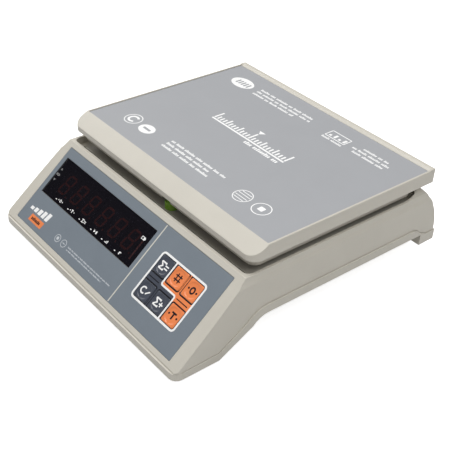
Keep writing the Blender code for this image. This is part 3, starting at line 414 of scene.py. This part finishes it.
def greeked(left, right, base, height, start=0):
    """A line of plain ticks grouped like words, which stands for small print and says nothing."""
    words = (7, 4, 9, 3, 6, 8, 5)
    tick, pitch = height * 0.40, height * 0.56
    shapes = []
    x, word, count = left, start, 0
    while x + tick < right:
        tall = 1.0 if (count * 5 + word * 3) % 4 == 0 else 0.76
        shapes.append(bar(x, x + tick, base, base + height * tall))
        x += pitch
        count += 1
        if count >= words[word % len(words)]:
            word, count = word + 1, 0
            x += pitch
    return shapes


# Pieces

def add_piece(name, mesh):
    piece = bpy.data.objects.new(name, mesh)
    bpy.context.scene.collection.objects.link(piece)
    return piece


def dress(piece, material, body, smooth=35):
    """Give a piece its material and the body it rides on."""
    piece.data.materials.clear()
    piece.data.materials.append(material)
    if smooth:
        piece.data.shade_smooth()
        piece.data.set_sharp_from_angle(angle=math.radians(smooth))
    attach(piece, body)


def flat_shapes(name, outlines, thickness, matrix):
    """Outlines in a plane given a thickness above it. An outline inside another is a hole."""
    curve = bpy.data.curves.new(name, "CURVE")
    curve.dimensions = "2D"
    curve.fill_mode = "BOTH"
    curve.extrude = thickness / 2
    for outline in outlines:
        spline = curve.splines.new("POLY")
        spline.points.add(len(outline) - 1)
        for point, (x, y) in zip(spline.points, outline):
            point.co = (x, y, 0.0, 1.0)
        spline.use_cyclic_u = True
    shape = add_piece(name, curve)
    bpy.context.view_layer.update()
    mesh = bpy.data.meshes.new_from_object(shape.evaluated_get(bpy.context.evaluated_depsgraph_get()))
    bpy.data.objects.remove(shape)
    mesh.transform(matrix @ Matrix.Translation((0, 0, thickness / 2)))
    welded = bmesh.new()
    welded.from_mesh(mesh)
    bmesh.ops.remove_doubles(welded, verts=welded.verts, dist=WELD)
    bmesh.ops.recalc_face_normals(welded, faces=welded.faces)
    welded.to_mesh(mesh)
    welded.free()
    return add_piece(name, mesh)


def ring_loft(name, rings, matrix=None):
    """A closed skin through rings of equally many points."""
    made = bmesh.new()
    rows = [[made.verts.new(point) for point in points] for points in rings]
    count = len(rows[0])
    for low, high in zip(rows, rows[1:]):
        for index in range(count):
            after = (index + 1) % count
            made.faces.new((low[index], low[after], high[after], high[index]))
    made.faces.new(reversed(rows[0]))
    made.faces.new(rows[-1])
    bmesh.ops.recalc_face_normals(made, faces=made.faces)
    mesh = bpy.data.meshes.new(name)
    made.to_mesh(mesh)
    made.free()
    if matrix:
        mesh.transform(matrix)
    return add_piece(name, mesh)


# The console's own frame, from the way its keys travel

def console_frame():
    press = next(joint["axis"] for joint in frame["joints"] if joint["name"] == "key_zero_press")
    outward = -Vector(press).normalized()
    across = Vector((1, 0, 0))
    up_slope = outward.cross(across)
    low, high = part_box("panel_overlay")
    face = (low + high) / 2 + outward * OVERLAY_THICKNESS / 2
    matrix = Matrix.Identity(4)
    for column, direction in enumerate((across, up_slope, outward, face)):
        matrix.col[column].xyz = direction
    return matrix


CONSOLE = console_frame()


def raised(matrix, height):
    return matrix @ Matrix.Translation((0, 0, height))


def on_console(point):
    return CONSOLE.inverted() @ Vector(point)


def key_centre(name):
    low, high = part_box(name)
    middle = on_console((low + high) / 2)
    return middle.x, middle.y


# What is printed on the overlay

def print_on(name, outlines, matrix, layer, material, body):
    """One colour of print, on top of as many layers as it says."""
    print_piece = flat_shapes(name, outlines, INK, raised(matrix, layer * INK))
    dress(print_piece, material, body, smooth=0)


def key_outline(centre, spare):
    size = (KEY_SIZE[0] + 2 * spare, KEY_SIZE[1] + 2 * spare)
    return rounded_rectangle(centre, size, KEY_CORNER + spare, 4)


def make_keypad_print():
    left, right = KEYPAD_U
    low, high = KEYPAD_V
    step_u, step_v, drop_u = DIVIDER
    inset = KEYPAD_LINE / 2
    curve = inset + ZONE_CORNER
    dark_zone = [*arc((left + curve, high - curve), ZONE_CORNER, 90, 180, 4),
                 *arc((left + curve, low + curve), ZONE_CORNER, 180, 270, 4),
                 (drop_u, low + inset), (drop_u, step_v), (step_u, step_v), (step_u, high - inset)]
    orange_zone = [(step_u, high - inset), (step_u, step_v), (drop_u, step_v), (drop_u, low + inset),
                   *arc((right - curve, low + curve), ZONE_CORNER, 270, 360, 4),
                   *arc((right - curve, high - curve), ZONE_CORNER, 0, 90, 4)]
    zones = (("dark", dark_zone, DARK_KEYS), ("orange", orange_zone, ORANGE_KEYS))
    for tone, zone, keys in zones:
        holes = [key_outline(key_centre(name), KEY_GAP) for name in keys]
        print_on(f"keypad_{tone}_zone", [zone, *holes], CONSOLE, 0, INKS[tone], "housing")

    centre, size = ((left + right) / 2, (low + high) / 2), (right - left, high - low)
    border = frame_outline(centre, size, KEYPAD_CORNER, KEYPAD_LINE)
    upper_bend = (step_u + DIVIDER_CORNER, step_v + DIVIDER_CORNER)
    lower_bend = (drop_u - DIVIDER_CORNER, step_v - DIVIDER_CORNER)
    divider = stroke([(step_u, high - KEYPAD_LINE), *arc(upper_bend, DIVIDER_CORNER, 180, 270, 4),
                      *arc(lower_bend, DIVIDER_CORNER, 90, 0, 4), (drop_u, low + KEYPAD_LINE)], DIVIDER_LINE)
    print_on("keypad_lines", [*border, divider], CONSOLE, 2, INKS["white"], "housing")

    lines = []
    for name in (*DARK_KEYS, *ORANGE_KEYS):
        lines += [key_outline(key_centre(name), KEY_FRAME), key_outline(key_centre(name), KEY_GAP)]
    lines += [bar(rule_left, rule_right, *RULE_V) for rule_left, rule_right in LEVEL_RULES]
    for u, v_low, v_high in UPRIGHT_RULES:
        lines += [bar(u + start, u + start + RULE_WIDTH, v_low, v_high) for start in RULE_PAIR]
    print_on("keypad_dark_lines", lines, CONSOLE, 1, INKS["black"], "housing")


def sum_sign(x, v, size):
    """A capital sigma: the sign for a total."""
    near, far, reach, tip = size * 0.35, size * 0.40, size * 0.425, size * 0.275
    points = [(x + far, v + tip), (x + far, v + reach), (x - near, v + reach), (x + size * 0.075, v),
              (x - near, v - reach), (x + far, v - reach), (x + far, v - tip)]
    return stroke(points, size * 0.17)


def plus_sign(x, v, reach, line):
    half = line / 2
    return [(x - reach, v - half), (x - half, v - half), (x - half, v - reach), (x + half, v - reach),
            (x + half, v - half), (x + reach, v - half), (x + reach, v + half), (x + half, v + half),
            (x + half, v + reach), (x - half, v + reach), (x - half, v + half), (x - reach, v + half)]


def tee_sign(x, v):
    """A capital T, for the tare weight."""
    reach, foot, arm, half = 0.0030, 0.0034, 0.0018, 0.0009
    return [(x - reach, v + foot), (x - reach, v + arm), (x - half, v + arm), (x - half, v - foot),
            (x + half, v - foot), (x + half, v + arm), (x + reach, v + arm), (x + reach, v + foot)]


def key_signs(name, x, v):
    """What is printed on a key, round a place on the console."""
    dots = [circle((x + side * DOT_REACH, v), DOT_RADIUS, 12) for side in (-1, 1)]
    if name == "key_total":
        equals = [bar(x + 0.0008, x + 0.0056, v + low, v + low + SIGN_LINE) for low in (0.0007, -0.0020)]
        return [sum_sign(x - 0.0028, v, SUM_SIZE), *equals]
    if name == "key_add":
        return [sum_sign(x - 0.0028, v, SUM_SIZE), plus_sign(x + 0.0030, v, 0.0023, SIGN_LINE)]
    if name == "key_clear":
        return [stroke(arc((x - 0.0020, v), 0.0030, 50, 310, 14), SIGN_LINE * 1.1),
                stroke([(x + 0.0018, v - 0.0020), (x + 0.0058, v + 0.0020)], SIGN_LINE)]
    if name == "key_unit":
        return hash_sign(x, v, 0.0042, 0.0019, 0.0012)
    if name == "key_zero":
        return [ellipse((x, v), 0.0030, 0.0036), ellipse((x, v), 0.0015, 0.0020), *dots]
    return [tee_sign(x, v), *dots]


def hash_sign(x, v, reach, offset, line):
    """Two level bars, joined by two upright ones."""
    half = line / 2
    shapes = [bar(x - reach, x + reach, level - half, level + half) for level in (v - offset, v + offset)]
    for side in (-1, 1):
        for low, high in ((-reach, -offset - half), (-offset + half, offset - half), (offset + half, reach)):
            shapes.append(bar(x + side * offset - half, x + side * offset + half, v + low, v + high))
    return shapes


def squarish(centre, half_u, half_v, turns, height):
    """A key's rounded rectangle with a point on each ray from its middle."""
    points = []
    for turn in turns:
        direction = Vector((math.cos(turn), math.sin(turn)))
        reach = min(half_u / max(abs(direction.x), 1e-6), half_v / max(abs(direction.y), 1e-6))
        point = direction * reach
        core = Vector((max(KEY_CORNER - half_u, min(half_u - KEY_CORNER, point.x)),
                       max(KEY_CORNER - half_v, min(half_v - KEY_CORNER, point.y))))
        off = point - core
        in_corner = abs(point.x) > half_u - KEY_CORNER and abs(point.y) > half_v - KEY_CORNER
        if off.length > 1e-9 and in_corner:
            point = core + off.normalized() * KEY_CORNER
        points.append((centre[0] + point.x, centre[1] + point.y, height))
    return points


def make_key(name, material, sign_ink):
    """A cap with rounded edges and a round dish in its face."""
    centre = key_centre(name)
    turns = [2 * math.pi * (step + 0.5) / KEY_STEPS for step in range(KEY_STEPS)]
    half_u, half_v = KEY_SIZE[0] / 2, KEY_SIZE[1] / 2
    rings = [squarish(centre, half_u, half_v, turns, -KEY_DEPTH)]
    for inwards, down in KEY_EDGE:
        rings.append(squarish(centre, half_u - inwards, half_v - inwards, turns, KEY_RISE - down))
    dish = ((DISH_RADIUS, 0.0), (DISH_RADIUS - 0.0003, 0.00012), (DISH_RADIUS - 0.0010, DISH_DEPTH * 0.8),
            (DISH_FLAT, DISH_DEPTH), (DISH_FLAT * 0.4, DISH_DEPTH))
    for radius, down in dish:
        rings.append([(centre[0] + radius * math.cos(turn), centre[1] + radius * math.sin(turn),
                       KEY_RISE - down) for turn in turns])
    cap = ring_loft(f"{name}_cap", rings, CONSOLE)
    dress(cap, material, name, smooth=30)
    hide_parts(name)
    floor = raised(CONSOLE, KEY_RISE - DISH_DEPTH)
    print_on(f"{name}_sign", key_signs(name, *centre), floor, 0, sign_ink, name)


def make_keys():
    for name in DARK_KEYS:
        make_key(name, MATERIALS["key_dark"], INKS["white"])
    for name in ORANGE_KEYS:
        make_key(name, MATERIALS["key_orange"], INKS["black"])


def make_console_marks():
    low, high = (on_console(corner).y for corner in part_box("panel_overlay"))
    start, base = BLOCKS_START
    blocks = []
    for step in range(BLOCKS):
        left = start + step * BLOCK_PITCH
        block = bar(left, left + BLOCK_WIDTH, base, base + BLOCK_HEIGHT + step * BLOCK_GAIN)
        blocks.append(slanted(block, base, BLOCK_SLANT))
    first, second = (ring(place, RING_RADIUS, RING_WIDTH) for place in RING_PLACES)
    soft = [*first, circle(RING_PLACES[0], RING_DOT), *second, bar(*RING_BAR)]
    for right, v, word in CONSOLE_PRINT:
        soft += greeked(CONSOLE_PRINT_START, right, v, CONSOLE_PRINT_HEIGHT, word)
    print_on("console_small_print", soft, CONSOLE, 0, INKS["soft"], "housing")
    print_on("console_white_marks", blocks, CONSOLE, 0, INKS["white"], "housing")

    divider = bar(*DISPLAY_EDGE_U, low + DISPLAY_EDGE_SPARE, high - DISPLAY_EDGE_SPARE)
    print_on("console_divider", [divider], CONSOLE, 0, INKS["cream"], "housing")
    tag = slanted(rounded_rectangle(TAG_CENTRE, TAG_SIZE, TAG_CORNER), TAG_CENTRE[1], TAG_SLANT)
    print_on("console_tag", [tag], CONSOLE, 0, INKS["orange"], "housing")
    print_on("console_tag_marks", greeked(*TAG_MARKS), CONSOLE, 1, INKS["black"], "housing")


# The display behind its window

def level_segment(left, right, v, half):
    """A level bar with pointed ends."""
    return [(left, v), (left + half, v + half), (right - half, v + half), (right, v),
            (right - half, v - half), (left + half, v - half)]


def upright_segment(u, low, high, half):
    """An upright bar with pointed ends."""
    return [(u, low), (u + half, low + half), (u + half, high - half), (u, high), (u - half, high - half),
            (u - half, low + half)]


def seven_segments(x):
    """The seven bars of one digit, with a small gap between them."""
    width, height = DIGIT_SIZE
    half, gap = DIGIT_LINE / 2, DIGIT_LINE * 0.12
    left, right = x - width / 2 + half, x + width / 2 - half
    levels = (DIGIT_LOW + half, DIGIT_LOW + height / 2, DIGIT_LOW + height - half)
    bars = [level_segment(left + gap, right - gap, level, half) for level in levels]
    for side in (left, right):
        for low, high in zip(levels, levels[1:]):
            bars.append(upright_segment(side, low + gap, high - gap, half))
    return [slanted(outline, DIGIT_LOW + height / 2, DIGIT_SLANT) for outline in bars]


def make_digits():
    unlit = []
    for module in ("digit_module_left", "digit_module_right"):
        low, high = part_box(module)
        pitch = (high.x - low.x) / DIGITS_A_MODULE
        for digit in range(DIGITS_A_MODULE):
            x = low.x + (digit + 0.5) * pitch
            unlit += seven_segments(x)
            unlit.append(circle((x + POINT[0], POINT[1]), POINT_RADIUS, 16))
    face = raised(CONSOLE, MODULE_FACE)
    print_on("digit_segments", unlit, face, 0, INKS["unlit"], "housing")


def make_window_mask():
    """The black frame round the digits, and the bar of level marks on it."""
    lens_low, lens_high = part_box("display_lens")
    centre = ((lens_low.x + lens_high.x) / 2, (on_console(lens_low).y + on_console(lens_high).y) / 2)
    left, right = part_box("digit_module_left")[0].x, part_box("digit_module_right")[1].x
    outlines = [rounded_rectangle(centre, (lens_high.x - lens_low.x, WINDOW_HEIGHT), 0.0008),
                bar(left + 0.0004, right - 0.0004, *MASK_OPENING_V)]
    mask = flat_shapes("window_mask", outlines, MASK_THICKNESS, raised(CONSOLE, MASK_LEVEL))
    dress(mask, INKS["mask"], "housing", smooth=0)

    steps = [LEVEL_BAR_V + step * LEVEL_BAR_PITCH for step in range(LEVEL_BAR_STEPS)]
    marks = [bar(*LEVEL_BAR_U, v, v + LEVEL_BAR_STEP) for v in steps]
    face = raised(CONSOLE, MASK_LEVEL + MASK_THICKNESS)
    print_on("level_bar", marks, face, 0, INKS["unlit_bar"], "housing")


def make_window_signs():
    faint = [[(-0.1216, 0.0197), (-0.1184, 0.0197), (-0.1200, 0.0220)],
             [(-0.1216, 0.0090), (-0.1200, 0.0067), (-0.1184, 0.0090)],
             ellipse((-0.1200, 0.0143), 0.0030, 0.0013, 20), ellipse((-0.1200, 0.0143), 0.0010, 0.0006, 12)]
    face = raised(CONSOLE, LENS_FACE)
    print_on("window_range_signs", faint, face, 0, INKS["grey"], "housing")
    signs = [bar(0.0204, 0.0254, 0.0187, 0.0219), bar(0.0211, 0.0233, 0.0193, 0.0213),
             bar(0.0255, 0.0261, 0.0196, 0.0210)]
    for number, x in enumerate(WINDOW_SIGN_U):
        signs.append(ellipse((x - 0.0068, -0.0052), 0.0011, 0.0005, 12))
        signs += window_sign(number, x, WINDOW_SIGN_V)
    print_on("window_signs", signs, face, 0, INKS["white"], "housing")


def window_sign(number, x, v):
    """Small signs under the digits, one for each indicator."""
    if number == 0:
        return [ellipse((x, v), 0.0014, 0.0016, 20), ellipse((x, v), 0.0007, 0.0009, 16), *small_dots(x, v)]
    if number == 1:
        return [bar(x - 0.0015, x + 0.0015, v + 0.0007, v + 0.0016),
                bar(x - 0.0005, x + 0.0005, v - 0.0017, v + 0.0006), *small_dots(x, v)]
    if number == 2:
        return [sum_sign(x - 0.0018, v, 0.0036), bar(x + 0.0004, x + 0.0034, v + 0.0004, v + 0.0011),
                bar(x + 0.0004, x + 0.0034, v - 0.0011, v - 0.0004)]
    if number == 3:
        return [[(x - 0.0026, v - 0.0015), (x + 0.0002, v), (x - 0.0026, v + 0.0015)],
                bar(x + 0.0008, x + 0.0026, v - 0.0014, v + 0.0014)]
    if number == 4:
        lefts = [x - 0.0022 + step * 0.0016 for step in range(3)]
        return [bar(left, left + 0.0010, v - 0.0015, v - 0.0006 + step * 0.0011)
                for step, left in enumerate(lefts)]
    return [bar(x - 0.0010, x + 0.0002, v - 0.0015, v + 0.0015),
            bar(x + 0.0004, x + 0.0018, v + 0.0006, v + 0.0015)]


def small_dots(x, v):
    """A small diamond on either side of a sign."""
    return [[(middle - 0.0008, v), (middle, v + 0.0007), (middle + 0.0008, v), (middle, v - 0.0007)]
            for middle in (x - 0.0032, x + 0.0032)]


# What is printed on the pan

def print_lines(spans, top, first_word=0):
    """Lines of small print below each other, each from its left to its right end."""
    shapes = []
    for row, (left, right) in enumerate(spans):
        shapes += greeked(left, right, top - row * PRINT_PITCH, PRINT_HEIGHT, row + first_word)
    return shapes


def make_pan_marks():
    # the back of the pan: a striped disc, small print, a framed sign and more small print
    marks = [ellipse((-0.1024, 0.1116), 0.0152, 0.0102, 40)]
    marks += [bar(-0.1105 + step * 0.0042, -0.1080 + step * 0.0042, 0.1075, 0.1155) for step in range(5)]
    marks += print_lines(((-0.0780, 0.0050), (-0.0780, 0.0050), (-0.0780, -0.0150)), UPPER_PRINT_Y)
    marks += frame_outline((0.0435, 0.1135), (0.0270, 0.0130), 0.0012, 0.0011)
    for step in range(4):
        left = 0.0335 + step * 0.0062
        marks.append(bar(left, left + 0.0030, 0.1095, 0.1125 + (step % 2) * 0.0030))
    marks += greeked(0.0305, 0.0575, 0.1020, 0.0032, 4)
    marks += print_lines(((0.0745, 0.1065), (0.0650, 0.1145), (0.0700, 0.1105)), UPPER_PRINT_Y, 2)

    # the middle: a graduated rule
    marks += scale_mark(-0.0060, 0.0350, 0.1080)
    marks += greeked(-0.0030, 0.0470, 0.0288, 0.0048, 1)

    # the front: two round stamps, small print and two more round stamps
    marks += ring((-0.1006, STAMP_Y), 0.0098, 0.0010)
    marks.append(stroke(arc((-0.1006, STAMP_Y), 0.0050, 40, 320, 16), 0.0024))
    marks += [ellipse((-0.0760, -0.0334), 0.0098, 0.0080), bar(-0.0815, -0.0705, -0.0349, -0.0319)]
    for row, right in enumerate((0.0396, 0.0250, 0.0280)):
        marks += greeked(-0.0430, right, LOWER_PRINT_Y - row * 0.0061, PRINT_HEIGHT, row + 3)
    marks += globe(0.0706, STAMP_Y, 0.0098) + ring((0.0960, STAMP_Y), 0.0096, 0.0010)
    marks += [rounded_rectangle((0.0960, STAMP_Y), (0.0062, 0.0062), 0.0010)]
    top = Matrix.Translation((0, 0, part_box("pan_label")[1].z))
    print_on("pan_marks", marks, top, 0, INKS["white"], "weighing_pan")


def scale_mark(x, y, width):
    """A plain graduated rule with a pointer above its middle."""
    left = x - width / 2
    shapes = [bar(left, left + width, y, y + 0.0022, 0.0004)]
    pitch = (width - 0.0024) / (RULER_TICKS - 1)
    for step in range(RULER_TICKS):
        tick_x = left + 0.0012 + step * pitch
        height = 0.0130 if step % 12 == 0 else 0.0098 if step % 4 == 0 else 0.0062
        shapes.append(bar(tick_x - 0.0010, tick_x + 0.0010, y + 0.0032, y + 0.0032 + height, 0.0003))
    shapes.append([(x - 0.0042, y + 0.0225), (x, y + 0.0172), (x + 0.0042, y + 0.0225)])
    return shapes


def globe(x, y, radius):
    """A ring crossed by plain level bars."""
    shapes = ring((x, y), radius, 0.0009)
    for level in (-0.55, -0.2, 0.2, 0.55):
        reach = math.sqrt(1 - level * level) * radius - 0.0018
        shapes.append(bar(x - reach, x + reach, y + level * radius - 0.0004, y + level * radius + 0.0004))
    return shapes


# Smaller pieces

def turned_piece(name, profile, centre, steps=40):
    """A solid turned round an upright line, from a profile of radius and height."""
    turns = [2 * math.pi * step / steps for step in range(steps)]
    rings = []
    for radius, height in profile:
        rings.append([(centre[0] + radius * math.cos(turn), centre[1] + radius * math.sin(turn), height)
                      for turn in turns])
    return ring_loft(name, rings)


def make_level():
    """The bubble under the level's clear top, and the black ring it is read against."""
    low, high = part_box("level_vial")
    centre = ((low.x + high.x) / 2, (low.y + high.y) / 2)
    profile = [(radius, high.z + height) for radius, height in BUBBLE_PROFILE]
    bubble_at = (centre[0] + BUBBLE_SHIFT[0], centre[1] + BUBBLE_SHIFT[1])
    bubble = turned_piece("level_bubble", profile, bubble_at)
    dress(bubble, INKS["bubble"], "housing")
    ring_place = Matrix.Translation((*centre, high.z - 0.00010))
    ring_mark = flat_shapes("level_ring", ring((0, 0), *LEVEL_RING), 0.0002, ring_place)
    dress(ring_mark, INKS["black"], "housing", smooth=0)


def make_rocker_signs():
    """A bar and a ring, one on each half of the power switch's rocker."""
    halves = {"on": [], "off": []}
    for face in frame["nodes"]["power_rocker"].data.polygons:
        if face.normal.z < -0.8:
            halves["on" if face.normal.x > 0 else "off"].append(face)
    half_bar, half_line = ROCKER_BAR[0] / 2, ROCKER_BAR[1] / 2
    signs = {"on": [bar(-half_bar, half_bar, -half_line, half_line)], "off": ring((0, 0), *ROCKER_RING)}
    along = Vector((0, 1, 0))
    for half, faces in halves.items():
        outward = faces[0].normal
        centre = sum((face.center for face in faces), Vector()) / len(faces)
        matrix = Matrix.Identity(4)
        for column, direction in enumerate((along, outward.cross(along), outward, centre)):
            matrix.col[column].xyz = direction
        name = f"rocker_sign_{half}"
        print_on(name, signs[half], matrix, 0, INKS["white"], "power_rocker")


def make_load_cell():
    """The load cell's beam, cut across into slices between its fixed end and the end that carries the platform."""
    beam_mesh = bmesh.new()
    beam_mesh.from_mesh(frame["nodes"]["load_cell"].data)
    for step in range(CELL_CUTS + 1):
        place = (CELL_BEND * (2 * step / CELL_CUTS - 1), 0, 0)
        everything = [*beam_mesh.verts, *beam_mesh.edges, *beam_mesh.faces]
        bmesh.ops.bisect_plane(beam_mesh, geom=everything, plane_co=place, plane_no=(1, 0, 0))
    mesh = bpy.data.meshes.new("load_cell_beam")
    beam_mesh.to_mesh(mesh)
    beam_mesh.free()
    beam = add_piece("load_cell_beam", mesh)
    beam.data.materials.clear()
    beam.data.materials.append(MATERIALS["aluminium"])
    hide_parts("load_cell")
    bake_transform(beam)


# Floor, light and camera

def make_floor():
    bpy.ops.mesh.primitive_plane_add(size=FLOOR_SIDE)
    floor = bpy.context.object
    floor.name = "floor"
    floor.location.z = -FLOOR_GAP
    material, tree, shader = blank_material("pale_floor")
    shader.inputs["Base Color"].default_value = (FLOOR_SHADE, FLOOR_SHADE, FLOOR_SHADE, 1)
    shader.inputs["Roughness"].default_value = 0.35
    shader.inputs["Emission Color"].default_value = (1, 1, 1, 1)
    light_path = tree.nodes.new("ShaderNodeLightPath")
    glow = spread(tree, light_path.outputs["Is Camera Ray"], 0.0, FLOOR_GLOW)
    tree.links.new(glow, shader.inputs["Emission Strength"])
    floor.data.materials.append(material)


def make_light(name, place, side, power):
    """A square soft light that faces the object."""
    light = bpy.data.lights.new(name, "AREA")
    light.size = side
    light.energy = power
    lamp = bpy.data.objects.new(name, light)
    lamp.location = place
    lamp.rotation_euler = (-Vector(place)).to_track_quat("-Z", "Y").to_euler()
    bpy.context.scene.collection.objects.link(lamp)


def make_studio():
    make_floor()
    for lamp in LAMPS:
        make_light(*lamp)
    world = bpy.data.worlds.new("studio")
    world.use_nodes = True
    background = world.node_tree.nodes["Background"]
    background.inputs["Color"].default_value = (1, 1, 1, 1)
    sky_path = world.node_tree.nodes.new("ShaderNodeLightPath")
    seen = spread(world.node_tree, sky_path.outputs["Is Camera Ray"], ROOM_GLOW, 1.0)
    world.node_tree.links.new(seen, background.inputs["Strength"])
    bpy.context.scene.world = world
    bpy.context.scene.view_settings.view_transform = "Standard"


def make_camera():
    camera = bpy.data.objects.new("camera", bpy.data.cameras.new("camera"))
    camera.data.lens = CAMERA_LENS
    camera.data.sensor_width = SENSOR
    camera.data.clip_start = NEAREST
    camera.location = CAMERA_PLACE
    camera.rotation_euler = [math.radians(turn) for turn in CAMERA_TURN]
    bpy.context.scene.collection.objects.link(camera)
    bpy.context.scene.camera = camera


make_camera()
make_studio()
paint_nodes()
make_keypad_print()
make_keys()
make_console_marks()
make_digits()
make_window_mask()
make_window_signs()
make_pan_marks()
make_level()
make_rocker_signs()
make_load_cell()
